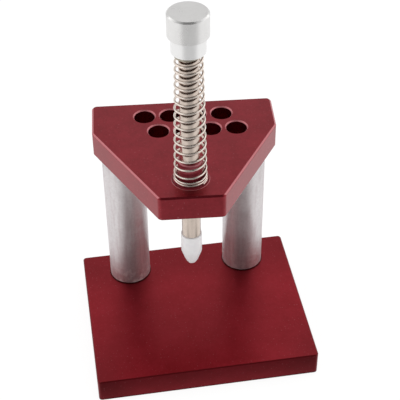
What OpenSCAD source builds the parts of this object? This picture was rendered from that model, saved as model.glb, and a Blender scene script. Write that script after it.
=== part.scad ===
// Hand press for fitting watch hands: a base plate, two pillars, a six-sided top plate,
// a flanged guide bush and a sprung plunger with a push-on plastic tip.
// The origin is the centre of the base plate's underside, +X to the right, +Y to the back, +Z up.

/* [Base plate] */
// Width of the base plate, left to right
base_w = 62.5; // [56:0.5:80]
// Depth of the base plate, front to back
base_d = 51; // [46:0.1:70]
// Thickness of the base plate
base_h = 7.5; // [6:0.1:12]
// Radius of the base plate's four upright corners
base_corner = 1; // [0.8:0.1:4]
// Chamfer along the base plate's top and bottom edges
base_edge = 0.3; // [0.2:0.05:0.7]

/* [Pillars] */
// Diameter of a pillar
pillar_d = 12; // [10:0.5:14]
// Length of a pillar, which is the gap between the two plates
pillar_h = 47.6; // [40:0.1:70]
// Distance between the axes of the two pillars
pillar_gap = 34.6; // [32:0.1:40]
// Distance from the base plate's back edge to the pillars' axes
pillar_inset = 7.85; // [7.2:0.05:10]
// Chamfer on both end faces of a pillar
pillar_edge = 0.4; // [0.2:0.1:0.8]

/* [Top plate] */
// Width of the top plate between its two straight sides
plate_w = 50.3; // [48:0.1:64]
// Depth of the top plate, back edge to front edge
plate_d = 41.9; // [38:0.1:52]
// Thickness of the top plate
plate_h = 7.5; // [6.2:0.1:10]
// Length of each straight side, before the slanted edge begins
plate_side = 12.9; // [8:0.1:18]
// Width of the front edge, between the two slanted edges
plate_front = 16.8; // [14:0.1:24]
// Radius of the top plate's six upright corners
plate_corner = 1.4; // [0.8:0.1:3]
// Chamfer along the top plate's top and bottom edges
plate_edge = 0.45; // [0.2:0.05:0.7]
// Distance from the pillars' common line back to the top plate's back edge
plate_back = 8.1; // [7.3:0.1:10]
// Turn of the top plate on the pillars, seen from above, in degrees (0 sets it square)
plate_turn = -4.8; // [-5:0.1:5]

/* [Tip holes] */
// Distance between neighbouring holes in a row
hole_pitch = 7.1; // [6.7:0.1:7.5]
// Number of holes in each of the two rows
hole_count = 4; // [2:1:4]
// Distance from the top plate's back edge to the back row
hole_inset = 6.2; // [4.5:0.1:7]
// Distance from the back row to the front row
hole_row_gap = 6.95; // [6.5:0.05:9]
// Depth of a hole
hole_depth = 5.2; // [3:0.1:5.4]
// Space between a stored tip and its hole, on the radius
hole_clear = 0.05; // [0.05:0.05:0.2]
// Chamfer around a hole's mouth
hole_edge = 0.35; // [0.1:0.05:0.5]

/* [Plunger] */
// Distance from the pillars' common line forward to the plunger's axis
plunger_reach = 26.1; // [24:0.1:34]
// Distance from the top plate's middle line to the plunger's axis, to the right
plunger_shift = 0.15; // [-0.5:0.05:0.5]
// Diameter of the plunger rod
rod_d = 5; // [4:0.1:5.4]
// Running clearance between the rod and its bore, on the radius
rod_clear = 0.05; // [0.02:0.01:0.1]
// Length of rod between the top plate's underside and the tip
rod_below = 11.3; // [6:0.1:16]
// Length of full-size rod let into the knob
rod_in_knob = 2.5; // [1:0.1:4]
// Chamfer on the rod's shoulders
rod_edge = 0.2; // [0.1:0.05:0.4]
// Diameter of the thread that holds the knob, and of its hole
knob_thread_d = 4; // [3:0.5:4]
// Length of that thread
knob_thread_h = 5; // [3:0.1:6]

/* [Knob] */
// Diameter of the knob's head
knob_d = 10.2; // [9:0.1:16]
// Height of the knob's head
knob_h = 6.1; // [3:0.1:10]
// Diameter of the knob's skirt
skirt_d = 8.55; // [8:0.05:9]
// Height of the knob's skirt
skirt_h = 4.5; // [3:0.1:8]
// Chamfer around the knob's top face
knob_edge = 0.4; // [0.2:0.1:1]

/* [Spring] */
// Diameter of the spring's wire
wire_d = 0.6; // [0.4:0.05:0.65]
// Outer diameter of the spring at its lower end
spring_low_d = 9; // [8:0.1:10]
// Outer diameter of the spring at its upper end
spring_top_d = 7.1; // [6.9:0.1:8]
// Length of the fitted spring with the plunger up
spring_h = 38.4; // [34:0.1:50]
// Number of open turns between the two close end turns
spring_turns = 16; // [10:1:17]
// Rise of each close end turn
spring_end_pitch = 1.1; // [1.1:0.05:1.5]
// Angle at which the wire's lower end stops, seen from above, from +X
spring_start = -50; // [-180:5:180]
// Gap between the spring's ends and what they press on
spring_gap = 0.05; // [0:0.05:0.3]
// Space between the spring's lower end and the wall of its seat, on the radius
seat_clear = 0.1; // [0.1:0.05:0.4]
// Depth of the seat sunk in the top plate for the bush's flange
seat_depth = 0.8; // [0.4:0.1:1.5]
// Chamfer around the seat's mouth
seat_edge = 0.3; // [0.1:0.05:0.4]

/* [Guide bush] */
// Thickness of the bush's flange, on which the spring stands
flange_h = 0.65; // [0.4:0.05:1]
// Height of the bush above its flange
bush_h = 6.45; // [3:0.05:7]
// Space between the bush and the narrowest turn that comes down around it, on the radius
bush_clear = 0.1; // [0.05:0.05:0.2]
// Chamfer around the bush's top
bush_edge = 0.3; // [0.1:0.05:0.4]

/* [Retaining ring] */
// Outer diameter of the retaining ring
ring_d = 9; // [8:0.1:10]
// Thickness of the retaining ring
ring_h = 0.7; // [0.5:0.1:1]
// Depth of the rod's groove, on the radius
groove_depth = 0.45; // [0.3:0.05:0.6]
// Space around the ring in its groove, and between the ring and the top plate
ring_clear = 0.05; // [0.02:0.01:0.1]

/* [Tip] */
// Diameter of the tip
tip_d = 5.6; // [5.2:0.1:5.7]
// Length of the tip's straight part
tip_h = 5.9; // [5.4:0.1:8]
// Length of the tip's rounded nose
nose_h = 4.5; // [3:0.1:6]
// Diameter of the nose at its end, before the end is rounded over
nose_d = 2.6; // [2.2:0.1:3.2]
// Radius that rounds the nose over at its end
nose_round = 0.5; // [0.2:0.05:0.6]
// Bulge of the nose, from a plain cone at 0 to a full bullet at 1
nose_bulge = 0.25; // [0:0.05:1]
// Diameter of the hole in the nose that clears the centre of a watch hand
pipe_d = 1; // [0.6:0.1:1.4]
// Depth of that hole
pipe_h = 1.8; // [1:0.1:3]
// Diameter of the rod's spigot that carries the tip
spigot_d = 3; // [2.5:0.1:3.4]
// Length of that spigot
spigot_h = 4.5; // [3:0.1:5]
// Space between the spigot and the tip's bore, on the radius
spigot_clear = 0.03; // [0.02:0.01:0.08]

/* [Screws and studs] */
// Diameter of the thread of a screw or stud
screw_d = 4; // [3:0.5:4]
// Length of a base screw, head and all
screw_h = 16; // [14:1:20]
// Diameter of a base screw's countersunk head
screw_head_d = 8; // [7:0.1:8.5]
// Depth to which the head lies below the base plate's underside
screw_sink = 0.2; // [0.1:0.1:0.6]
// Width across the flats of the hexagon sockets
socket_w = 2.5; // [2:0.5:2.5]
// Depth of the hexagon sockets
socket_h = 1.6; // [1:0.1:2]
// Space around a screw in the base plate's hole, on the radius
screw_clear = 0.2; // [0.1:0.05:0.3]
// Length of a stud in the top plate
stud_in_plate = 4.8; // [3:0.1:5]
// Length of a stud in the pillar
stud_in_pillar = 7.2; // [5:0.1:10]
// Space around a thread in its tapped hole, on the radius
thread_clear = 0.04; // [0.02:0.01:0.08]
// Space left past the end of a thread, in its blind hole
thread_end = 0.5; // [0.2:0.1:1]

/* [Hidden] */

RED = [0.50, 0.11, 0.15];
SILVER = [0.78, 0.78, 0.79];
STEEL = [0.66, 0.66, 0.67];
DARK_STEEL = [0.30, 0.30, 0.32];
NYLON = [0.92, 0.93, 0.95];

// The facets of a turned surface, and of the plates' rounded corners.
TURNED = 64;
CORNER = 32;
// The spring's wire has eight rings to a turn and six sides.
RINGS = 8;
SIDES = 6;

// Heights of the faces that pieces stand on or press on.
base_top = base_h;
plate_low = base_top + pillar_h;
plate_top = plate_low + plate_h;
seat_z = plate_top - seat_depth;
foot_z = seat_z + flange_h;
skirt_z = foot_z + spring_h + 2 * spring_gap;
head_z = skirt_z + skirt_h;
tip_z = plate_low - rod_below;
nose_z = tip_z - tip_h - nose_h;

pillar_y = base_d / 2 - pillar_inset;
screw_head_h = (screw_head_d - screw_d) / 2;
screw_in_pillar = screw_h + screw_sink - base_h;
hole_d = tip_d + 2 * hole_clear;
groove_d = rod_d - 2 * groove_depth;
ring_z = plate_low - ring_clear - ring_h;

// The share of the spring's turns that lie around the bush with the spring pressed solid,
// and the bush's diameter, which clears the narrowest of those turns.
bush_share = min(1, bush_h / ((spring_turns + 2) * wire_d));
bush_d = spring_low_d - (spring_low_d - spring_top_d) * bush_share - 2 * wire_d - 2 * bush_clear;

echo(travel_to_base_mm = nose_z - base_top);

// The top plate, the plunger and all that it carries are placed from the middle of the pillars' line.
module on_pillars() {
    translate([0, pillar_y, 0]) rotate([0, 0, plate_turn]) children();
}

module on_plunger() {
    on_pillars() translate([plunger_shift, -plunger_reach, 0]) children();
}

module at_pillar(side) {
    translate([side * pillar_gap / 2, pillar_y, 0]) children();
}

// A rod's or a hole's outline, turned about its axis, from points of radius and height.
module turned(points) {
    rotate_extrude($fn = TURNED) polygon(points);
}

// A straight hole from low to high with a chamfer at its upper mouth.
module chamfered_hole(d, low, high, edge) {
    past = 1;
    turned([[0, low], [d / 2, low], [d / 2, high - edge],
        [d / 2 + edge + past, high + past], [0, high + past]]);
}

// A plate with rounded upright corners and chamfered edges, over a convex outline.
module edged_plate(points, h, corner, edge) {
    hull() {
        translate([0, 0, edge]) linear_extrude(h - 2 * edge)
            offset(r = corner, $fn = CORNER) offset(delta = -corner) polygon(points);
        linear_extrude(h)
            offset(r = corner - edge, $fn = CORNER) offset(delta = -corner) polygon(points);
    }
}

// The screw's head and shank, grown by a clearance where it is the hole in the base plate.
module countersunk(shank_r, clear) {
    head_r = screw_head_d / 2 + clear;
    low = screw_sink - clear / 2;
    turned([[0, low], [head_r, low], [shank_r, low + head_r - shank_r],
        [shank_r, screw_h + screw_sink], [0, screw_h + screw_sink]]);
}

module base_plate() {
    w = base_w / 2;
    d = base_d / 2;
    color(RED) difference() {
        edged_plate([[-w, -d], [w, -d], [w, d], [-w, d]], base_h, base_corner, base_edge);
        for (side = [-1, 1]) at_pillar(side) {
            countersunk(screw_d / 2 + screw_clear, screw_clear);
            translate([0, 0, -1])
                cylinder(h = screw_sink + 1, d = screw_head_d + 2 * screw_clear, $fn = TURNED);
        }
    }
}

module pillar(side) {
    r = pillar_d / 2;
    tapped_d = screw_d + 2 * thread_clear;
    color(SILVER) at_pillar(side) translate([0, 0, base_top]) difference() {
        turned([[0, 0], [r - pillar_edge, 0], [r, pillar_edge], [r, pillar_h - pillar_edge],
            [r - pillar_edge, pillar_h], [0, pillar_h]]);
        translate([0, 0, -1]) cylinder(h = screw_in_pillar + thread_end + 1, d = tapped_d, $fn = TURNED);
        translate([0, 0, pillar_h - stud_in_pillar - thread_end])
            cylinder(h = stud_in_pillar + thread_end + 1, d = tapped_d, $fn = TURNED);
    }
}

module pillar_left() pillar(-1);
module pillar_right() pillar(1);

module hexagon_socket(low, high) {
    translate([0, 0, low]) cylinder(h = high - low, d = socket_w / cos(30), $fn = 6);
}

module base_screw(side) {
    color(DARK_STEEL) at_pillar(side) difference() {
        countersunk(screw_d / 2, 0);
        hexagon_socket(screw_sink - 1, screw_sink + socket_h);
    }
}

module base_screw_left() base_screw(-1);
module base_screw_right() base_screw(1);

module top_stud(side) {
    low = plate_low - stud_in_pillar;
    high = plate_low + stud_in_plate;
    color(DARK_STEEL) at_pillar(side) difference() {
        translate([0, 0, low]) cylinder(h = high - low, d = screw_d, $fn = TURNED);
        hexagon_socket(high - socket_h, high + 1);
    }
}

module top_stud_left() top_stud(-1);
module top_stud_right() top_stud(1);

// The two rows of holes: the front row lies half a pitch to the right of the back row.
module at_tip_holes() {
    for (row = [0, 1], i = [0 : hole_count - 1])
        translate([(i - (hole_count - 1) / 2 + row / 2) * hole_pitch,
            plate_back - hole_inset - row * hole_row_gap, 0]) children();
}

module top_plate() {
    w = plate_w / 2;
    f = plate_front / 2;
    back = plate_back;
    front = plate_back - plate_d;
    side = plate_back - plate_side;
    color(RED) difference() {
        on_pillars() translate([0, 0, plate_low])
            edged_plate([[-w, back], [-w, side], [-f, front], [f, front], [w, side], [w, back]],
                plate_h, plate_corner, plate_edge);
        on_pillars() at_tip_holes() chamfered_hole(hole_d, plate_top - hole_depth, plate_top, hole_edge);
        on_plunger() {
            chamfered_hole(spring_low_d + 2 * seat_clear, seat_z, plate_top, seat_edge);
            translate([0, 0, plate_low - 1])
                cylinder(h = plate_h + 2, d = bush_d + 2 * thread_clear, $fn = TURNED);
        }
        for (side = [-1, 1]) at_pillar(side) translate([0, 0, plate_low - 1])
            cylinder(h = stud_in_plate + thread_end + 1, d = screw_d + 2 * thread_clear, $fn = TURNED);
    }
}

// A flanged bush pressed into the top plate: the rod slides in it and the spring stands on it.
module guide_bush() {
    flange_r = spring_low_d / 2 + seat_clear - thread_clear;
    bush_r = bush_d / 2;
    bore_r = rod_d / 2 + rod_clear;
    top = foot_z + bush_h;
    color(RED) on_plunger() turned([
        [bore_r, plate_low], [bush_r, plate_low], [bush_r, seat_z], [flange_r, seat_z],
        [flange_r, foot_z], [bush_r, foot_z], [bush_r, top - bush_edge], [bush_r - bush_edge, top],
        [bore_r, top]]);
}

// The rod, from the spigot for the tip, past the ring's groove, to the thread in the knob.
module plunger_rod() {
    r = rod_d / 2;
    groove_low = ring_z - ring_clear;
    groove_high = ring_z + ring_h + ring_clear;
    full_top = skirt_z + rod_in_knob;
    color(STEEL) on_plunger() turned([
        [0, tip_z - spigot_h], [spigot_d / 2 - rod_edge, tip_z - spigot_h],
        [spigot_d / 2, tip_z - spigot_h + rod_edge], [spigot_d / 2, tip_z],
        [r - rod_edge, tip_z], [r, tip_z + rod_edge],
        [r, groove_low], [groove_d / 2, groove_low], [groove_d / 2, groove_high], [r, groove_high],
        [r, full_top], [knob_thread_d / 2, full_top],
        [knob_thread_d / 2, full_top + knob_thread_h], [0, full_top + knob_thread_h]]);
}

// An open ring that snaps into the rod's groove and stops it under the top plate.
module retaining_ring() {
    inner_d = groove_d + 2 * ring_clear;
    relief_d = inner_d * 0.42;
    color(DARK_STEEL) on_plunger() rotate([0, 0, 90]) translate([0, 0, ring_z]) linear_extrude(ring_h)
        difference() {
            circle(d = ring_d, $fn = TURNED);
            circle(d = inner_d, $fn = TURNED);
            translate([0, -inner_d * 0.42]) square([ring_d, inner_d * 0.84]);
            for (a = [140, 220, 300]) rotate(a) translate([inner_d / 2, 0])
                circle(d = relief_d, $fn = CORNER);
        }
}

module plunger_knob() {
    head_r = knob_d / 2;
    skirt_r = skirt_d / 2;
    top = head_z + knob_h;
    thread_z = skirt_z + rod_in_knob;
    color(SILVER) on_plunger() difference() {
        turned([[0, skirt_z], [skirt_r - knob_edge / 2, skirt_z], [skirt_r, skirt_z + knob_edge / 2],
            [skirt_r, head_z], [head_r - knob_edge / 3, head_z], [head_r, head_z + knob_edge / 3],
            [head_r, top - knob_edge], [head_r - knob_edge, top], [0, top]]);
        translate([0, 0, skirt_z - 1])
            cylinder(h = rod_in_knob + 1, d = rod_d + 2 * thread_clear, $fn = TURNED);
        translate([0, 0, thread_z - 0.01])
            cylinder(h = knob_thread_h + thread_end, d = knob_thread_d + 2 * thread_clear, $fn = TURNED);
    }
}

// The spring's centre line: a close turn at each end, open turns between, narrowing upwards.
spring_n = spring_turns + 2;
open_rise = spring_h - wire_d - 2 * spring_end_pitch;

function spring_z(t) =
    t < 1 ? spring_end_pitch * t :
    t > spring_n - 1 ? spring_end_pitch * (t - spring_n + 2) + open_rise :
    spring_end_pitch + open_rise * (t - 1) / spring_turns;

function spring_r(t) = (spring_low_d + (spring_top_d - spring_low_d) * t / spring_n - wire_d) / 2;

spring_line = [for (i = [0 : spring_n * RINGS]) let (t = i / RINGS, a = spring_start + 360 * t)
    [spring_r(t) * cos(a), spring_r(t) * sin(a), spring_z(t)]];

least_gap = min([for (i = [0 : len(spring_line) - 1], j = [i + RINGS / 2 : len(spring_line) - 1])
    if (j < len(spring_line)) norm(spring_line[i] - spring_line[j])]) - wire_d;
echo(spring_least_gap_mm = least_gap);

// One unbroken tube along a line: each ring is set by the way out from the axis and by +Z.
module tube(line, d) {
    last = len(line) - 1;
    rings = [for (p = line) let (out = [p[0], p[1], 0] / norm([p[0], p[1]]))
        [for (s = [0 : SIDES - 1]) let (a = 360 * s / SIDES) p + d / 2 * (out * cos(a) + [0, 0, sin(a)])]];
    points = [for (ring = rings) each ring];
    walls = [for (i = [0 : last - 1], s = [0 : SIDES - 1])
        let (a = i * SIDES + s, b = i * SIDES + (s + 1) % SIDES)
        each [[a, b, b + SIDES], [a, b + SIDES, a + SIDES]]];
    start = [for (s = [1 : SIDES - 2]) [0, s + 1, s]];
    end = [for (s = [1 : SIDES - 2]) [last * SIDES, last * SIDES + s, last * SIDES + s + 1]];
    polyhedron(points, concat(walls, start, end));
}

module return_spring() {
    color(STEEL) on_plunger() translate([0, 0, foot_z + spring_gap + wire_d / 2]) tube(spring_line, wire_d);
}

// The tip's nose, from its straight part down, and the arc that rounds its end over.
function nose(steps) = [for (i = [0 : steps]) let (u = i / steps)
    [tip_d / 2 - (tip_d - nose_d) / 2 * ((1 - nose_bulge) * u + nose_bulge * (1 - sqrt(1 - u * u))),
        tip_z - tip_h - (nose_h - nose_round) * u]];

function nose_end(steps) = [for (i = [1 : steps]) let (a = 90 * i / steps)
    [nose_d / 2 - nose_round * (1 - cos(a)), nose_z + nose_round * (1 - sin(a))]];

module press_tip() {
    color(NYLON) on_plunger() difference() {
        turned(concat([[0, tip_z], [tip_d / 2 - rod_edge, tip_z], [tip_d / 2, tip_z - rod_edge]],
            nose(8), nose_end(4), [[0, nose_z]]));
        translate([0, 0, tip_z - spigot_h - thread_end])
            cylinder(h = spigot_h + thread_end + 1, d = spigot_d + 2 * spigot_clear, $fn = TURNED);
        translate([0, 0, nose_z - 1]) cylinder(h = pipe_h + 1, d = pipe_d, $fn = TURNED);
    }
}

base_plate();
pillar_left();
pillar_right();
base_screw_left();
base_screw_right();
top_stud_left();
top_stud_right();
top_plate();
guide_bush();
plunger_rod();
retaining_ring();
plunger_knob();
return_spring();
press_tip();
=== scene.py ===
# %% [markdown]
# # A watch hand press
# A watchmaker sets hour and minute hands on their arbors with this small press. A red base plate
# carries two bright pillars, the pillars carry a six-sided top plate, and a sprung plunger slides
# through the top plate with a soft nylon tip on its end.
#
# The solids come ready made, at their real size. This file gives them their finishes, winds a finer
# spring, turns a smoother tip, and sets the press on a pale floor in soft light. Everything is in
# metres, with the origin under the middle of the base plate and +Z up.

import math

import bmesh
import bpy
from mathutils import Matrix, Vector


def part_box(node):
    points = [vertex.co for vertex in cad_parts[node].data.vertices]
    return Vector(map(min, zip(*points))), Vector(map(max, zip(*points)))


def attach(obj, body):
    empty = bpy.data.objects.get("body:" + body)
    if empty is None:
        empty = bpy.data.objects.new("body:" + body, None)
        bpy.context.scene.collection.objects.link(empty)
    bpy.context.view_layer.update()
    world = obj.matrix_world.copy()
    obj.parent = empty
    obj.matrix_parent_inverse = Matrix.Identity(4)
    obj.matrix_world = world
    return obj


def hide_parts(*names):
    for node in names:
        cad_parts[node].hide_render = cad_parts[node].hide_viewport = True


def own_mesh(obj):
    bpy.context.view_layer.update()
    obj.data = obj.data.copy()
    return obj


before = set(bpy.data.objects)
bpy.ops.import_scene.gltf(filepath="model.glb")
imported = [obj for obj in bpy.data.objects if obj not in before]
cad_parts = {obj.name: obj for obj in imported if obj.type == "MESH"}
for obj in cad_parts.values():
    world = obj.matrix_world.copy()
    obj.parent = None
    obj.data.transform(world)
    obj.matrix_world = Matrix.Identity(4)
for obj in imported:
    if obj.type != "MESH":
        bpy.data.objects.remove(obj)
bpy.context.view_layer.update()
MM = 0.001
print("solids:", ", ".join(sorted(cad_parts)))

# %% [markdown]
# ## Where things are
# A few numbers place almost everything: the tops of the two plates, the plunger's axis, and the
# heights between which the spring is held. They are read from the solids' own boxes, so that a piece
# made here can't drift away from the solid that it stands on. Only the flange that carries the spring
# is given by a number of its own: it lies a little below the top plate's face.

# %% Measure the solids
FLANGE_DROP = 0.15 * MM


def upright_axis(node):
    low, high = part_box(node)
    return (low[0] + high[0]) / 2, (low[1] + high[1]) / 2


base_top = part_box("base_plate")[1][2]
plate_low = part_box("top_plate")[0][2]
plate_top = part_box("top_plate")[1][2]
axis_x, axis_y = upright_axis("plunger_knob")
foot = plate_top - FLANGE_DROP
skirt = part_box("plunger_knob")[0][2]
knob_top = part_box("plunger_knob")[1][2]
print(f"base top {base_top / MM:.2f} mm, top plate {plate_low / MM:.2f} to {plate_top / MM:.2f} mm")
print(f"plunger axis ({axis_x / MM:.3f}, {axis_y / MM:.3f}) mm")
print(f"spring from {foot / MM:.2f} to {skirt / MM:.2f} mm")

# %% [markdown]
# ## The camera
# The photograph looks down at the press from the front and a little from the left, with a long
# lens, so that upright edges lean together only slightly. The camera is placed with three axes of
# its own: right, up, and back towards the viewer. That is safer than turning it by hand, because
# the small roll of the picture can be given as one more angle.

# %% Camera
SENSOR_WIDTH = 36
NEAREST, FARTHEST = 0.01, 20


def look(name, eye, turn, height, roll, lens):
    back = Vector((math.sin(turn) * math.cos(height), -math.cos(turn) * math.cos(height),
                   math.sin(height)))
    right = (-back).cross(Vector((0, 0, 1))).normalized()
    up = right.cross(-back)
    leaned_right = math.cos(roll) * right + math.sin(roll) * up
    leaned_up = math.cos(roll) * up - math.sin(roll) * right
    data = bpy.data.cameras.new(name)
    data.lens, data.sensor_width = lens, SENSOR_WIDTH
    data.clip_start, data.clip_end = NEAREST, FARTHEST
    camera = bpy.data.objects.new(name, data)
    turned = Matrix((leaned_right, leaned_up, back)).transposed().to_4x4()
    camera.matrix_world = Matrix.Translation(eye) @ turned
    bpy.context.scene.collection.objects.link(camera)
    return camera


camera = look("camera", eye=Vector((-32.835, -221.307, 238.184)) * MM, turn=math.radians(-8.863),
              height=math.radians(40.385), roll=math.radians(-0.518), lens=97.2)
bpy.context.scene.camera = camera
print("camera at", [round(v, 4) for v in camera.matrix_world.translation])

# %% [markdown]
# ## Sums in a node tree
# Finishes and pieces are both made with node trees. Wiring Math nodes by hand hides what is being
# worked out, so `Signal` wraps an output socket and lets Python's own operators add the nodes:
# `1 - mask * 0.3` reads as it is meant. `Bench` holds the tree and adds every other kind of node
# with one method, which takes its settings first and then the values or links of its sockets. Its
# other methods are short names for the nodes that are used most.

# %% Signals and the bench they are wired on
class Signal:
    """An output socket that Python's operators work on."""

    def __init__(self, socket):
        self.socket = socket

    def out(self, name):
        return Signal(self.socket.node.outputs[name])

    def sum(self, operation, first, second=None):
        tree = self.socket.id_data
        node = tree.nodes.new("ShaderNodeMath")
        node.operation = operation
        for slot, term in zip(node.inputs, (first, second)):
            if term is not None:
                plug(term, slot)
        return Signal(node.outputs[0])

    def __add__(self, other):
        return self.sum("ADD", self, other)

    def __radd__(self, other):
        return self.sum("ADD", other, self)

    def __sub__(self, other):
        return self.sum("SUBTRACT", self, other)

    def __rsub__(self, other):
        return self.sum("SUBTRACT", other, self)

    def __mul__(self, other):
        return self.sum("MULTIPLY", self, other)

    def __rmul__(self, other):
        return self.sum("MULTIPLY", other, self)

    def __truediv__(self, other):
        return self.sum("DIVIDE", self, other)

    def __pow__(self, other):
        return self.sum("POWER", self, other)

    def at_most(self, other):
        return self.sum("MINIMUM", self, other)

    def at_least(self, other):
        return self.sum("MAXIMUM", self, other)

    def absolute(self):
        return self.sum("ABSOLUTE", self)

    def sine(self):
        return self.sum("SINE", self)

    def cosine(self):
        return self.sum("COSINE", self)


def plug(value, slot):
    if isinstance(value, Signal):
        slot.id_data.links.new(value.socket, slot)
    elif slot.type == "RGBA" and len(value) == 3:
        slot.default_value = (*value, 1)
    else:
        slot.default_value = value


class Bench:
    """A node tree, and one way to add any node to it."""

    def __init__(self, tree):
        self.tree = tree

    def node(self, kind, settings=None, sockets=None, out=0):
        made = self.tree.nodes.new(kind)
        for name, value in (settings or {}).items():
            if name == "stops":
                ramp = made.color_ramp
                while len(ramp.elements) < len(value):
                    ramp.elements.new(0.5)
                for element, (place, colour) in zip(ramp.elements, value):
                    element.position, element.color = place, (*colour, 1)
            else:
                setattr(made, name, value)
        for name, value in (sockets or {}).items():
            slot = made.inputs[name] if isinstance(name, int) else next(
                s for s in made.inputs if s.name == name and s.enabled)
            plug(value, slot)
        live = [s for s in made.outputs if s.enabled]
        if not live:
            return None
        return Signal(made.outputs[out] if isinstance(out, str) else live[out])

    def axis(self, place, letter):
        return self.node("ShaderNodeSeparateXYZ", sockets={"Vector": place}, out=letter)

    def blend(self, factor, first, second):
        return self.node("ShaderNodeMix", {"data_type": "RGBA"}, {
            "Factor": factor, "A": first, "B": second})

    def step(self, value, low, high, to_low=0.0, to_high=1.0):
        return self.node("ShaderNodeMapRange", {"interpolation_type": "SMOOTHSTEP"}, {
            "Value": value, "From Min": low, "From Max": high, "To Min": to_low, "To Max": to_high})


def methods(kind):
    names = [name.strip("_") for name, value in vars(kind).items() if callable(value)]
    return ", ".join(name for name in names if name != "init")


print("a signal has:", methods(Signal))
print("the bench has:", methods(Bench))

# %% [markdown]
# ## The floor and the white room
# Such tools are photographed on a white sweep and cut out, so the background is pure white. A floor
# that is white to the camera alone would lose the press's shadow. So the floor is a pale diffuse
# surface, and only part of what the camera sees of it is replaced by plain white: the shadow stays,
# faintly. What the metal mirrors of the floor is another matter. It is bright at the sides and the
# back, where the lamps reach it, dimmer in front, and darkest in the press's own shade just in
# front of the base plate, which is what the plate's upright front face shows. The sheet lies a
# twentieth of a millimetre under the press, so that it and the plate's underside aren't in one plane.
#
# Brightness is given as a share of white, and every edge between bright and dim as the two places
# between which it fades.

# %% Floor
PALE = 0.86
DIM_FAR, DIM_NEAR = 0.62, 0.60
OWN_SHADE = 0.42
WHITE_TO_CAMERA, WHITE_TO_MIRRORS = 0.82, 0.75
CAMERA_BOOST = 0.09
FLOOR_HALF, FLOOR_DROP = 4.0, 0.05 * MM


def new_material(name):
    material = bpy.data.materials.new(name)
    material.use_nodes = True
    material.node_tree.nodes.clear()
    return material, Bench(material.node_tree)


def pale_floor():
    material, bench = new_material("pale_floor")
    rays = bench.node("ShaderNodeLightPath")
    direct = rays.out("Is Camera Ray")
    mirrored = rays.out("Is Glossy Ray").at_least(rays.out("Is Transmission Ray"))
    place = bench.node("ShaderNodeTexCoord", out="Object")
    towards_back = bench.axis(place, "Y")
    aside = bench.axis(place, "X").absolute()
    lamps_reach = bench.step(towards_back + aside * 0.6, -100 * MM, -20 * MM)
    under_plate = bench.step(towards_back, -34 * MM, -14 * MM)
    in_front = bench.step(towards_back, -60 * MM, -36 * MM) * (1 - under_plate)
    own_shade = in_front * (1 - bench.step(aside, 34 * MM, 60 * MM))
    lit = lamps_reach * (1 - own_shade)
    front = bench.step(towards_back, -140 * MM, -100 * MM, DIM_FAR, DIM_NEAR) - own_shade * OWN_SHADE
    level = PALE - mirrored * (1 - lit) * (PALE - front)
    shade = bench.node("ShaderNodeCombineXYZ", sockets={"X": level, "Y": level, "Z": level})
    cloth = bench.node("ShaderNodeBsdfDiffuse", sockets={"Color": shade})
    glow = bench.node("ShaderNodeEmission", sockets={
        "Color": (1, 1, 1), "Strength": 1.0 + direct * CAMERA_BOOST})
    white_share = direct * WHITE_TO_CAMERA + mirrored * lit * WHITE_TO_MIRRORS
    shown = bench.node("ShaderNodeMixShader", sockets={0: white_share, 1: cloth, 2: glow})
    bench.node("ShaderNodeOutputMaterial", sockets={"Surface": shown})
    return material


def sheet_on_floor(name, half):
    mesh = bpy.data.meshes.new(name)
    low = -FLOOR_DROP
    edge = [(-half, -half, low), (half, -half, low), (half, half, low), (-half, half, low)]
    mesh.from_pydata(edge, [], [(0, 1, 2, 3)])
    floor = bpy.data.objects.new(name, mesh)
    bpy.context.scene.collection.objects.link(floor)
    floor.data.materials.append(pale_floor())
    return floor


floor = sheet_on_floor("floor", FLOOR_HALF)
print("floor:", floor.name, "with", floor.data.materials[0].name)

# %% [markdown]
# The room around the press is what its bright metal mirrors. It is evenly pale except on the
# photographer's side, which is dim: that is why the chamfer around the knob's top is white at both
# sides and nearly black in front. A lamp's light adds to whatever stands behind it, and the two
# together would wash pale metal out, so what is mirrored of the room is turned down behind every
# lamp. The room is painted by direction in the world's nodes, and only the camera sees it plain white.
# An edge between bright and dim is given here as the two cosines between which it fades.

# %% Room
ROOM = 0.70
DIM_FOR_ALL, DIM_IN_MIRRORS, BEHIND_LAMPS = 0.10, 0.48, 0.50
DIM_SIDE = Vector((-0.123, -0.79, 0.60)).normalized()
SIDE_BOX_ASIDE, SIDE_BOX_UP = 0.86, 0.51


def white_room():
    world = bpy.data.worlds.new("white_room")
    bpy.context.scene.world = world
    world.use_nodes = True
    world.node_tree.nodes.clear()
    bench = Bench(world.node_tree)
    towards = bench.node("ShaderNodeTexCoord", out="Generated")
    facing = bench.node("ShaderNodeVectorMath", {"operation": "DOT_PRODUCT"},
                        {0: towards, 1: DIM_SIDE}, out="Value")
    dimness = bench.step(facing, 0.71, 0.79)
    rays = bench.node("ShaderNodeLightPath")
    aside, up = bench.axis(towards, "X").absolute(), bench.axis(towards, "Z")
    behind_side_box = bench.step(aside * SIDE_BOX_ASIDE + up * SIDE_BOX_UP, 0.88, 0.95)
    behind_lamp = behind_side_box.at_least(bench.step(up, 0.90, 0.97))
    mirrored = rays.out("Is Glossy Ray")
    dim_front = dimness * (DIM_FOR_ALL + mirrored * DIM_IN_MIRRORS)
    level = ROOM - dim_front - mirrored * behind_lamp * BEHIND_LAMPS
    camera_sees = rays.out("Is Camera Ray")
    shown = camera_sees + (1 - camera_sees) * level
    light = bench.node("ShaderNodeBackground", sockets={"Color": (1, 1, 1), "Strength": shown})
    bench.node("ShaderNodeOutputWorld", sockets={"Surface": light})
    return world


print("world:", white_room().name)

# %% [markdown]
# ## The lamps
# Three large soft boxes, almost equally bright: one at each side, low enough to fill the sides of the
# plates, and one overhead, a little behind the press. A lamp's power is worked out from its area,
# so that all of them can be set by how bright their face looks rather than by watts. All of them
# look at a point near the middle of the press.

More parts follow.
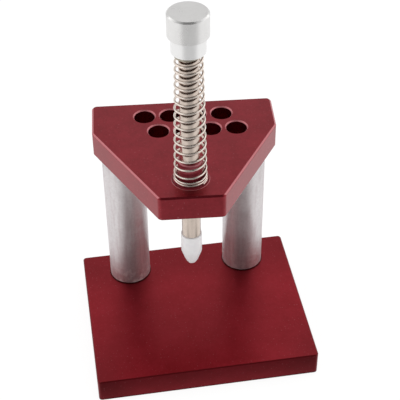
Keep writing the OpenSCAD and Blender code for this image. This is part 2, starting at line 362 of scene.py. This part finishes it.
# %% Lamps
MIDDLE = Vector((0, 0, 0.05))


def soft_box(name, towards, distance, width, height, brightness):
    data = bpy.data.lights.new(name, "AREA")
    data.shape, data.size, data.size_y = "RECTANGLE", width, height
    data.energy = brightness * math.pi * width * height
    lamp = bpy.data.objects.new(name, data)
    away = Vector(towards).normalized()
    turned = away.to_track_quat("Z", "Y").to_matrix().to_4x4()
    lamp.matrix_world = Matrix.Translation(MIDDLE + away * distance) @ turned
    bpy.context.scene.collection.objects.link(lamp)
    return lamp


side_size = {"distance": 0.70, "width": 0.88, "height": 0.42}
left_box = soft_box("left_box", (-0.99, 0.03, 0.58), brightness=0.84, **side_size)
right_box = soft_box("right_box", (0.98, 0.06, 0.58), brightness=0.86, **side_size)
top_box = soft_box("top_box", (0.0, 0.12, 1.0), distance=0.80, width=0.80, height=0.66, brightness=0.84)
print("lamps:", {lamp.name: round(lamp.data.energy, 2) for lamp in (left_box, right_box, top_box)})

# %% [markdown]
# ## Red anodised aluminium
# Both plates and the bush are aluminium that was blasted to an even satin, then anodised and dyed.
# The dye sits in a clear, hard oxide layer over bright metal, so the finish is a coloured metal
# under a clear coat: looked at steeply it is deep red, and at a glancing angle the coat turns it
# pink. Three patterns break it up: the fine blasted grain, a slow drift in how much dye was taken
# up, and pale pinpricks. They are cut from noise, whose values run from 0 to 1 and lie mostly
# between 0.3 and 0.7, by a soft step between two such values.
#
# The top plate's chamfers and the bush's rim take a paler colour, a painted highlight, but the top
# plate's front edge is left out of it, and so a turned number, how far forward a point lies, leaves
# that edge out. A pale ring in front of the bush's seat, also a painted highlight, is found by its
# distance from the plunger's axis. The base plate's edge is coloured darker than its face. The
# chamfers and the rim are found by their height, because every one of them ends at its piece's own
# top face. Painted shade darkens the base plate towards its front corners and its back, and painted
# contact shade lines the pillars' feet and the plate's bottom edge.

# %% Red anodising
# Colour of the painted contact shade.
CONTACT_SHADE = (0.020, 0.001, 0.002)
PINPRICK = (0.50, 0.16, 0.18)
PLATE_TURN = math.radians(-4.8)
AXIS_TO_FRONT = 7.7 * MM
# Radii between which the painted highlight round the bush's seat lies.
SEAT_HIGHLIGHT_STARTS, SEAT_HIGHLIGHT_ENDS = (4.58 * MM, 4.62 * MM), (5.00 * MM, 5.15 * MM)
FOOT_SHADE_ENDS = (6.12 * MM, 6.38 * MM)


def grain(bench, place, size, detail=2.0):
    return bench.node("ShaderNodeTexNoise", {"noise_dimensions": "3D"},
                      {"Vector": place, "Scale": 1 / size, "Detail": detail, "Roughness": 0.55})


def distance_from(x, y, centre):
    return ((x - centre[0]) ** 2 + (y - centre[1]) ** 2) ** 0.5


# Painted highlight: chamfers and a ring in front of the bush's seat take the paler rim colour; the top
# plate's front edge is left out.
def painted_edge_light(bench, x, y, height, top, chamfer, unlit_front_edge):
    on_face = bench.step(height, top - 0.1 * chamfer, top)
    painted_edge = bench.step(height, top - chamfer, top - 0.8 * chamfer) * (1 - on_face)
    if unlit_front_edge is None:
        return painted_edge
    turn, reach = unlit_front_edge
    forward = x * math.sin(turn) - y * math.cos(turn)
    painted_edge = painted_edge * (1 - bench.step(forward, reach - 0.7 * MM, reach - 0.5 * MM))
    seat = distance_from(x, y, (axis_x, axis_y))
    painted_ring = bench.step(seat, *SEAT_HIGHLIGHT_STARTS) * (1 - bench.step(seat, *SEAT_HIGHLIGHT_ENDS))
    return painted_edge.at_least(painted_ring * (1 - 0.8 * bench.step(y, axis_y - 2 * MM, axis_y + 1 * MM)))


# Painted shade: the base plate's colour is darkened towards its front corners and its back.
def painted_base_shade(bench, x, y, dyed_and_shaded, deep, half_w, half_d):
    outer = bench.step(x.absolute() / half_w, 0.55, 1.0) * bench.step(0.0 - y, 0.0, half_d)
    outer = outer.at_least(0.8 * bench.step(y, 0.2 * half_d, 0.8 * half_d))
    return bench.blend(outer * 0.55, dyed_and_shaded, tuple(0.5 * c for c in deep))


# Painted contact shade: along the base plate's bottom edge and in a ring round each pillar's foot.
def painted_contact_shade(bench, x, y, height, dyed_and_shaded, feet):
    dyed_and_shaded = bench.blend(0.6 * (1 - bench.step(height, 0.3 * MM, 1.0 * MM)), dyed_and_shaded, CONTACT_SHADE)
    for centre in feet:
        painted_ring = 1 - bench.step(distance_from(x, y, centre), *FOOT_SHADE_ENDS)
        dyed_and_shaded = bench.blend(0.7 * painted_ring, dyed_and_shaded, CONTACT_SHADE)
    return dyed_and_shaded


def red_anodising(name, top, chamfer, deep, light, rim, coat, edge_tint, metal=1.0,
                  unlit_front_edge=None, half_size=None, feet=()):
    material, bench = new_material(name)
    place = bench.node("ShaderNodeTexCoord", out="Object")
    x, y, height = (bench.axis(place, letter) for letter in "XYZ")
    blasted = grain(bench, place, 0.30 * MM)
    mottle = grain(bench, place, 0.9 * MM, 3.0)
    drift = grain(bench, place, 7 * MM, 4.0)
    dye = bench.step(drift * 0.45 + mottle * 0.35 + blasted * 0.20, 0.34, 0.66)
    pinprick = bench.step(grain(bench, place, 0.42 * MM, 0.0), 0.76, 0.82)
    painted_edge = painted_edge_light(bench, x, y, height, top, chamfer, unlit_front_edge)
    dyed_and_shaded = bench.blend(dye, deep, light)
    if half_size is not None:
        dyed_and_shaded = painted_base_shade(bench, x, y, dyed_and_shaded, deep, *half_size)
        dyed_and_shaded = painted_contact_shade(bench, x, y, height, dyed_and_shaded, feet)
    pricked = bench.blend(pinprick * 0.35, dyed_and_shaded, PINPRICK)
    colour = bench.blend(painted_edge, pricked, rim)
    relief = bench.node("ShaderNodeBump", sockets={
        "Strength": 0.25, "Distance": 0.02 * MM, "Height": blasted})
    surface = bench.node("ShaderNodeBsdfPrincipled", sockets={
        "Base Color": colour, "Metallic": metal, "Roughness": 0.34 + drift * 0.10 + painted_edge * 0.15,
        "Specular Tint": edge_tint, "Normal": relief,
        "Coat Weight": coat, "Coat Roughness": 0.25, "Coat IOR": 1.3})
    bench.node("ShaderNodeOutputMaterial", sockets={"Surface": surface})
    return material


plate_front = axis_x * math.sin(PLATE_TURN) - axis_y * math.cos(PLATE_TURN) + AXIS_TO_FRONT
base_red = red_anodising(
    "red_anodising_base", top=base_top, chamfer=0.30 * MM, deep=(0.270, 0.011, 0.018),
    light=(0.330, 0.016, 0.027), rim=(0.17, 0.008, 0.012), coat=0.55, edge_tint=(1.0, 0.65, 0.67),
    half_size=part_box("base_plate")[1][:2],
    feet=(upright_axis("pillar_left"), upright_axis("pillar_right")))
plate_red = red_anodising(
    "red_anodising_plate", top=plate_top, chamfer=0.45 * MM, deep=(0.220, 0.008, 0.015),
    light=(0.290, 0.014, 0.025), rim=(0.62, 0.215, 0.235), coat=1.0, edge_tint=(1.0, 0.66, 0.68),
    unlit_front_edge=(PLATE_TURN, plate_front))
bush_red = red_anodising(
    "red_anodising_bush", top=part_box("guide_bush")[1][2], chamfer=0.30 * MM,
    deep=(0.30, 0.030, 0.045), light=(0.42, 0.050, 0.070), rim=(0.55, 0.18, 0.20), coat=1.0,
    edge_tint=(1.0, 1.0, 1.0), metal=0.5)
print("finishes:", base_red.name, plate_red.name, bush_red.name)

# %% [markdown]
# ## Turned aluminium
# The pillars and the knob are plain turned bar. A lathe tool leaves very fine rings: along a
# pillar they follow its height, and on the knob's flat top they are circles about the plunger's
# axis. Radius plus height gives one number that runs along both, so a single pattern serves: it is
# noise read from that number alone, which makes it the same all the way round.
#
# Handling shows on top of that. The pillars are a little mottled and carry faint streaks along their
# length: the same noise as elsewhere, read from a space that is drawn out nine times in height.
# Near the feet they are scuffed pale and dull, the left one more than the right, and a pale line,
# a painted highlight in the scuff colour, marks the edge that they stand on. A faint sheen stands for
# their fuzz of fine scratches, which catches light near their outlines. The knob's skirt is coloured
# paler than its head.

# %% Turned aluminium
PILLAR_STREAK, PILLAR_MOTTLE = (0.50, 0.40, 0.41), (0.45, 0.37, 0.38)
# Colour of the pale scuffs and of the painted highlight on the pillars' foot edge.
SCUFF_AND_HIGHLIGHT = (0.96, 0.89, 0.88)
SKIRT_COLOUR = (0.90, 0.895, 0.89)
KNOB_HEAD = 6.1 * MM


def rings(bench, place, centre, pitch):
    x, y, z = (bench.axis(place, letter) for letter in "XYZ")
    across, along = x - centre[0], y - centre[1]
    radius = (across * across + along * along) ** 0.5
    return bench.node("ShaderNodeTexNoise", {"noise_dimensions": "1D"},
                      {"W": (radius + z) / pitch, "Scale": 1.0, "Detail": 3.0, "Roughness": 0.6})


def handled(bench, place, height, shown, scuffs):
    drawn_out = bench.node("ShaderNodeMapping", {"vector_type": "TEXTURE"},
                           {"Vector": place, "Scale": (1, 1, 9)})
    streak = bench.step(grain(bench, drawn_out, 1.1 * MM, 2.0), 0.44, 0.66)
    shown = bench.blend(streak * 0.28, shown, PILLAR_STREAK)
    mottle = bench.step(grain(bench, place, 0.7 * MM, 3.0), 0.40, 0.62)
    shown = bench.blend(mottle * 0.16, shown, PILLAR_MOTTLE)
    near_foot = 1 - bench.step(height, base_top + 1 * MM, base_top + 9 * MM)
    scuffed = near_foot * bench.step(grain(bench, place, 1.5 * MM, 4.0), 0.48, 0.60) * scuffs
    # Painted highlight: a pale line along the edge that each pillar stands on.
    painted_foot_highlight = 1 - bench.step(height, base_top + 0.35 * MM, base_top + 0.60 * MM)
    return bench.blend(scuffed.at_least(painted_foot_highlight * 0.7), shown, SCUFF_AND_HIGHLIGHT), scuffed


def turned_aluminium(name, centre, pitch, colour, metal, roughness, depth, relief_strength,
                     paler_below=None, scuffs=None, sheen=0.0):
    material, bench = new_material(name)
    place = bench.node("ShaderNodeTexCoord", out="Object")
    height = bench.axis(place, "Z")
    tool_marks = rings(bench, place, centre, pitch)
    stain = grain(bench, place, 3 * MM, 5.0)
    speckle = grain(bench, place, 0.35 * MM)
    shade = bench.step(tool_marks * 0.5 + stain * 0.35 + speckle * 0.15, 0.30, 0.70)
    shown = bench.blend(shade, tuple(0.90 * c for c in colour), colour)
    dullness = roughness + stain * 0.10
    if paler_below is not None:
        above = bench.step(height, paler_below - 0.05 * MM, paler_below)
        shown = bench.blend(above, SKIRT_COLOUR, shown)
    if scuffs is not None:
        shown, scuffed = handled(bench, place, height, shown, scuffs)
        dullness = dullness + scuffed * 0.30
    relief = bench.node("ShaderNodeBump", sockets={
        "Strength": relief_strength, "Distance": depth, "Height": tool_marks})
    surface = bench.node("ShaderNodeBsdfPrincipled", sockets={
        "Base Color": shown, "Metallic": metal, "Roughness": dullness, "Normal": relief,
        "Sheen Weight": sheen, "Sheen Roughness": 0.45, "Sheen Tint": (1.0, 0.93, 0.95)})
    bench.node("ShaderNodeOutputMaterial", sockets={"Surface": surface})
    return material


pillar_bar = {"pitch": 0.12 * MM, "colour": (0.80, 0.765, 0.77), "metal": 0.94, "roughness": 0.28,
              "depth": 0.055 * MM, "relief_strength": 1.0, "sheen": 0.6}
pillar_left_finish = turned_aluminium(
    "pillar_left_aluminium", upright_axis("pillar_left"), scuffs=0.9, **pillar_bar)
pillar_right_finish = turned_aluminium(
    "pillar_right_aluminium", upright_axis("pillar_right"), scuffs=0.3, **pillar_bar)
knob_finish = turned_aluminium(
    "knob_aluminium", (axis_x, axis_y), pitch=0.15 * MM, colour=(0.86, 0.85, 0.84), metal=0.92,
    roughness=0.24, depth=0.012 * MM, relief_strength=0.3, paler_below=knob_top - KNOB_HEAD)
print("finishes:", pillar_left_finish.name, pillar_right_finish.name, knob_finish.name)

# %% [markdown]
# ## Polished and blackened steel
# The rod is ground and polished, so it mirrors the wire around it. The spring's wire is drawn
# bright, and both have a very fine grain that softens what they mirror. On the near half the wire's
# inner side is painted dark, a painted shade that draws the dark line inside each near turn; its outer
# side and the far turns, seen from within, keep the bright colour. The winding below leaves a number
# called `outward` on the wire that tells the two sides apart. The turn under the knob's skirt is
# painted darker, as painted shade. Screws, studs and the retaining ring are blackened, and worn lighter in
# small spots.

# %% Steels
# Colour of the painted shade on the last turn under the knob's skirt.
SKIRT_SHADE_COLOUR = (0.30, 0.29, 0.22)
BLACKENED, WORN = (0.055, 0.055, 0.060), (0.22, 0.21, 0.20)


def bright_steel(name, colour, roughness, painted_inner_shade=None):
    material, bench = new_material(name)
    place = bench.node("ShaderNodeTexCoord", out="Object")
    haze = grain(bench, place, 1.5 * MM, 4.0)
    shown = bench.blend(bench.step(haze, 0.35, 0.65), tuple(0.94 * c for c in colour), colour)
    if painted_inner_shade is not None:
        # Painted shade: the inner side of the wire's near half is coloured dark; the outer side and the far
        # half keep the bright colour.
        outward = bench.node("ShaderNodeAttribute", {"attribute_name": "outward"}, out="Fac")
        behind = bench.step(bench.axis(place, "Y"), axis_y - 1.5 * MM, axis_y + 0.5 * MM)
        lit_side = bench.step(outward, -0.30, 0.45).at_least(behind)
        shown = bench.blend(lit_side, painted_inner_shade, shown)
        # Painted shade: the last turn under the knob's skirt is coloured darker.
        shaded_last_turn = bench.step(bench.axis(place, "Z"), skirt - 1.3 * MM, skirt - 0.7 * MM)
        shown = bench.blend(shaded_last_turn * 0.8, shown, SKIRT_SHADE_COLOUR)
    fine = grain(bench, place, 0.10 * MM)
    relief = bench.node("ShaderNodeBump", sockets={
        "Strength": 0.15, "Distance": 0.004 * MM, "Height": fine})
    surface = bench.node("ShaderNodeBsdfPrincipled", sockets={
        "Base Color": shown, "Metallic": 1.0, "Roughness": roughness + haze * 0.08, "Normal": relief})
    bench.node("ShaderNodeOutputMaterial", sockets={"Surface": surface})
    return material


def blackened_steel():
    material, bench = new_material("blackened_steel")
    place = bench.node("ShaderNodeTexCoord", out="Object")
    worn = bench.step(grain(bench, place, 0.8 * MM, 5.0), 0.58, 0.72)
    surface = bench.node("ShaderNodeBsdfPrincipled", sockets={
        "Base Color": bench.blend(worn, BLACKENED, WORN), "Metallic": 0.9,
        "Roughness": 0.42 - worn * 0.12})
    bench.node("ShaderNodeOutputMaterial", sockets={"Surface": surface})
    return material


rod_finish = bright_steel("polished_rod_steel", colour=(0.69, 0.585, 0.51), roughness=0.15)
wire_finish = bright_steel("drawn_spring_wire", colour=(0.90, 0.80, 0.72), roughness=0.16,
                           painted_inner_shade=(0.10, 0.05, 0.028))
dark_finish = blackened_steel()
print("finishes:", rod_finish.name, wire_finish.name, dark_finish.name)

# %% [markdown]
# ## White nylon
# The tip is turned from natural nylon. Light goes a millimetre or two into it, so it glows softly
# and its thin nose is the brightest. Subsurface scattering gives that without making it glass.

# %% Nylon
def white_nylon():
    material, bench = new_material("white_nylon")
    place = bench.node("ShaderNodeTexCoord", out="Object")
    cloud = bench.step(grain(bench, place, 1.2 * MM, 4.0), 0.35, 0.65)
    marks = rings(bench, place, (axis_x, axis_y), 0.12 * MM)
    relief = bench.node("ShaderNodeBump", sockets={
        "Strength": 0.2, "Distance": 0.006 * MM, "Height": marks})
    surface = bench.node("ShaderNodeBsdfPrincipled", sockets={
        "Base Color": bench.blend(cloud, (0.95, 0.92, 0.935), (0.99, 0.965, 0.975)), "Roughness": 0.34,
        "IOR": 1.53, "Normal": relief, "Subsurface Weight": 0.4, "Subsurface Scale": 1 * MM,
        "Subsurface Radius": (1.0, 0.95, 0.98)})
    bench.node("ShaderNodeOutputMaterial", sockets={"Surface": surface})
    return material


nylon = white_nylon()
print("finish:", nylon.name)

# %% [markdown]
# ## Dress the solids
# A solid whose shape is right keeps its mesh and takes the finish in its material slots. The spring
# and the tip are given theirs too, although the pieces made further down take their places.

# %% Finishes on the solids
def dress(node, material):
    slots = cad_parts[node].data.materials
    slots.clear()
    slots.append(material)


finish_of = {
    "base_plate": base_red, "top_plate": plate_red, "guide_bush": bush_red,
    "pillar_left": pillar_left_finish, "pillar_right": pillar_right_finish, "plunger_knob": knob_finish,
    "plunger_rod": rod_finish, "return_spring": wire_finish, "press_tip": nylon}
for node in ("base_screw_left", "base_screw_right", "top_stud_left", "top_stud_right",
             "retaining_ring"):
    finish_of[node] = dark_finish
for node, finish in finish_of.items():
    dress(node, finish)
print("dressed:", len(finish_of), "of", len(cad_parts), "solids")

# %% [markdown]
# ## The return spring
# The spring stands on the guide bush's flange and narrows on its way up to the knob's skirt. Its
# lowest turns lie close together, the others open up and then draw slowly closer again, and the
# last one is nearly flat under the skirt. A coil follows a rule, so Geometry Nodes are the natural
# way to wind it: a line of points is bent into the coil by a sum on each point's number, and a
# small circle is swept along it. The sizes are inputs of the tree, so another spring needs no new
# code. The coil's radius is stored on the line before the sweep and compared afterwards with where
# each point of the wire came to lie, which gives `outward`: 1 on the outer side, -1 on the inner.

# %% A tree that winds a spring
def spring_winder(name):
    tree = bpy.data.node_groups.new(name, "GeometryNodeTree")
    tree.interface.new_socket("Geometry", in_out="OUTPUT", socket_type="NodeSocketGeometry")
    for label, kind in (("Points to a turn", "Int"), ("Sides of the wire", "Int"), ("Turns", "Float"),
                        ("Lower radius", "Float"), ("Upper radius", "Float"), ("Wire radius", "Float"),
                        ("Height", "Float"), ("Close rise", "Float"), ("Open rise", "Float"),
                        ("Opens after", "Float"), ("Opens over", "Float"), ("Rise lost by a turn", "Float"),
                        ("Flattens after", "Float"), ("Rise lost in the last turn", "Float"),
                        ("First angle", "Float"), ("Finish", "Material")):
        tree.interface.new_socket(label, in_out="INPUT", socket_type="NodeSocket" + kind)
    bench = Bench(tree)
    given = bench.node("NodeGroupInput")
    total = given.out("Turns")
    line = bench.node("GeometryNodeMeshLine", {"mode": "OFFSET"},
                      {"Count": given.out("Points to a turn") * total + 1, "Offset": (0, 0, 0.001)})
    curve = bench.node("GeometryNodeMeshToCurve", sockets={"Mesh": line})
    turn = bench.node("GeometryNodeInputIndex") / given.out("Points to a turn")
    angle = given.out("First angle") + turn * (2 * math.pi)
    narrowing = (given.out("Upper radius") - given.out("Lower radius")) * turn / total
    radius = given.out("Lower radius") + narrowing - given.out("Wire radius")

    def climbed(turns):
        past = (turns - given.out("Opens after")).at_least(0)
        opening = past.at_most(given.out("Opens over"))
        opened = opening * opening / given.out("Opens over") * 0.5 + past - opening
        flat = (turns - given.out("Flattens after")).at_least(0)
        gained = (given.out("Open rise") - given.out("Close rise")) * opened
        return (given.out("Close rise") * turns + gained
                - given.out("Rise lost by a turn") * past * past * 0.5
                - given.out("Rise lost in the last turn") * flat * flat * 0.5)

    height = climbed(turn) / climbed(total) * (given.out("Height") - given.out("Wire radius") * 2)
    coil = bench.node("ShaderNodeCombineXYZ", sockets={
        "X": radius * angle.cosine(), "Y": radius * angle.sine(), "Z": height + given.out("Wire radius")})
    bent = bench.node("GeometryNodeSetPosition", sockets={"Geometry": curve, "Position": coil})
    centred = bench.node("GeometryNodeStoreNamedAttribute", {"data_type": "FLOAT", "domain": "POINT"},
                         {"Geometry": bent, "Name": "coil_radius", "Value": radius})
    section = bench.node("GeometryNodeCurvePrimitiveCircle", {"mode": "RADIUS"},
                         {"Resolution": given.out("Sides of the wire"), "Radius": given.out("Wire radius")})
    wire = bench.node("GeometryNodeCurveToMesh",
                      sockets={"Curve": centred, "Profile Curve": section, "Fill Caps": True})
    spot = bench.node("GeometryNodeInputPosition")
    x, y = (bench.axis(spot, letter) for letter in "XY")
    middle = bench.node("GeometryNodeInputNamedAttribute", {"data_type": "FLOAT"},
                        {"Name": "coil_radius"})
    outward = ((x * x + y * y) ** 0.5 - middle) / given.out("Wire radius")
    flanked = bench.node("GeometryNodeStoreNamedAttribute", {"data_type": "FLOAT", "domain": "POINT"},
                         {"Geometry": wire, "Name": "outward", "Value": outward})
    smooth = bench.node("GeometryNodeSetShadeSmooth", sockets={0: flanked})
    real = bench.node("GeometryNodeRealizeInstances", sockets={"Geometry": smooth})
    done = bench.node("GeometryNodeSetMaterial",
                      sockets={"Geometry": real, "Material": given.out("Finish")})
    bench.node("NodeGroupOutput", sockets={0: done})
    return tree


winder = spring_winder("spring_winder")
print("inputs:", [item.name for item in winder.interface.items_tree if item.in_out == "INPUT"])

# %% [markdown]
# The tree runs once, on an empty seed object, and what it makes is kept as a plain mesh, because it
# rides on the press as one piece. Points that share a place are then joined and the faces are made
# to look outwards, so that the wire is one closed skin with a volume. It stands a twentieth of a
# millimetre clear of the flange and as much below the knob's skirt. Only the proportions of the
# rises count, since the tree fits the whole climb into the height.

# %% Wind it and stand it on the flange
CLEAR = 0.05 * MM
SAME_PLACE = 1e-7


def grow(name, tree, inputs, place):
    seed = bpy.data.objects.new(name + "_seed", bpy.data.meshes.new(name + "_seed"))
    bpy.context.scene.collection.objects.link(seed)
    modifier = seed.modifiers.new("winder", "NODES")
    modifier.node_group = tree
    names = {item.name: item.identifier for item in tree.interface.items_tree if item.in_out == "INPUT"}
    for label, value in inputs.items():
        modifier[names[label]] = value
    evaluated = seed.evaluated_get(bpy.context.evaluated_depsgraph_get())
    mesh = bpy.data.meshes.new_from_object(evaluated)
    seed.modifiers.remove(modifier)
    bpy.data.objects.remove(seed)
    mesh.name = name
    mesh.transform(Matrix.Translation(place))
    piece = bpy.data.objects.new(name, mesh)
    bpy.context.scene.collection.objects.link(piece)
    return piece


def face_outwards(mesh):
    work = bmesh.new()
    work.from_mesh(mesh)
    bmesh.ops.remove_doubles(work, verts=work.verts, dist=SAME_PLACE)
    bmesh.ops.recalc_face_normals(work, faces=work.faces)
    if work.calc_volume(signed=True) < 0:
        bmesh.ops.reverse_faces(work, faces=work.faces)
    volume = work.calc_volume(signed=True)
    open_edges = sum(1 for edge in work.edges if len(edge.link_faces) != 2)
    work.to_mesh(mesh)
    work.free()
    return volume, open_edges


spring = grow("coil_spring", winder, {
    "Points to a turn": 48, "Sides of the wire": 12, "Turns": 18.0,
    "Lower radius": 4.50 * MM, "Upper radius": 3.55 * MM, "Wire radius": 0.30 * MM,
    "Height": skirt - foot - 2 * CLEAR, "Close rise": 0.61, "Open rise": 2.72, "Opens after": 1.41,
    "Opens over": 1.95, "Rise lost by a turn": 0.0414, "Flattens after": 16.6,
    "Rise lost in the last turn": 0.34, "First angle": math.radians(-50),
    "Finish": wire_finish}, (axis_x, axis_y, foot + CLEAR))
volume, open_edges = face_outwards(spring.data)
print(f"spring: {len(spring.data.polygons)} faces, {volume * 1e9:.1f} mm3, {open_edges} open edges")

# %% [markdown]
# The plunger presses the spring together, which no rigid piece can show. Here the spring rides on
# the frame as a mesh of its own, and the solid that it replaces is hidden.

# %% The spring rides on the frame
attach(spring, "frame")
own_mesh(spring)
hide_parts("return_spring")

# %% [markdown]
# ## The tip
# The tip is a small turned piece: a straight collar, a slightly bulging nose and a rounded end
# with a hole that clears the arbor of a watch. A lathe cuts it by following a profile, and so does
# this: the profile is spun round the axis in one closed skin, from the bottom of the bore inside,
# over the top, down the outside and up into the hole in the nose.

# %% Turn the tip
BORE_DEPTH, HOLE_DEPTH = 5.0, 1.8
BARE_ROD = 11.3
TIP_SIDES = 96
SHARP = math.radians(35)


def lathe(name, profile, sides, centre, material):
    mesh = bpy.data.meshes.new(name)
    points, faces, loops = [], [], []
    for radius, height in profile:
        if radius == 0:
            loops.append([len(points)] * sides)
            points.append((centre[0], centre[1], height))
        else:
            loops.append([len(points) + i for i in range(sides)])
            for i in range(sides):
                angle = 2 * math.pi * i / sides
                sideways, forward = radius * math.cos(angle), radius * math.sin(angle)
                points.append((centre[0] + sideways, centre[1] + forward, height))
    for low, high in zip(loops, loops[1:]):
        for i in range(sides):
            corners = (low[i], low[(i + 1) % sides], high[(i + 1) % sides], high[i])
            faces.append(tuple(dict.fromkeys(corners)))
    mesh.from_pydata(points, [], faces)
    mesh.materials.append(material)
    piece = bpy.data.objects.new(name, mesh)
    bpy.context.scene.collection.objects.link(piece)
    volume, open_edges = face_outwards(mesh)
    mesh.shade_smooth()
    mesh.set_sharp_from_angle(angle=SHARP)
    print(f"{name}: {len(mesh.polygons)} faces, {volume * 1e9:.1f} mm3, {open_edges} open edges")
    return piece


def arc(centre_r, centre_z, radius, start, end, steps):
    angles = [math.radians(start + (end - start) * i / steps) for i in range(steps + 1)]
    return [(centre_r + radius * math.cos(a), centre_z + radius * math.sin(a)) for a in angles]


def tip_profile(top, collar, nose):
    r_tip, r_nose, r_end, r_bore, r_hole, broken = 2.80, 1.30, 0.5, 1.53, 0.5, 0.2
    low = top - collar - nose
    bulge = [(r_tip - (r_tip - r_nose) * (0.75 * u + 0.25 * (1 - math.sqrt(1 - u * u))),
              top - collar - (nose - r_end) * u) for u in (i / 20 for i in range(20))]
    outline = [(0, top - BORE_DEPTH), (r_bore, top - BORE_DEPTH), (r_bore, top)]
    outline += arc(r_tip - broken, top - broken, broken, 90, 0, 5)
    outline += bulge
    outline += arc(r_nose - r_end, low + r_end, r_end, -6, -90, 8)
    outline += [(r_hole, low), (r_hole, low + HOLE_DEPTH), (0, low + HOLE_DEPTH)]
    return [(r * MM, z * MM) for r, z in outline]


tip_outline = tip_profile(top=plate_low / MM - BARE_ROD, collar=5.9, nose=4.5)
tip = lathe("nylon_tip", tip_outline, TIP_SIDES, (axis_x, axis_y), nylon)
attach(tip, "plunger")
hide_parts("press_tip")

# %% [markdown]
# ## How colours are shown
# The plain Standard view keeps a colour as it was chosen.

# %% Finish
bpy.context.scene.view_settings.view_transform = "Standard"
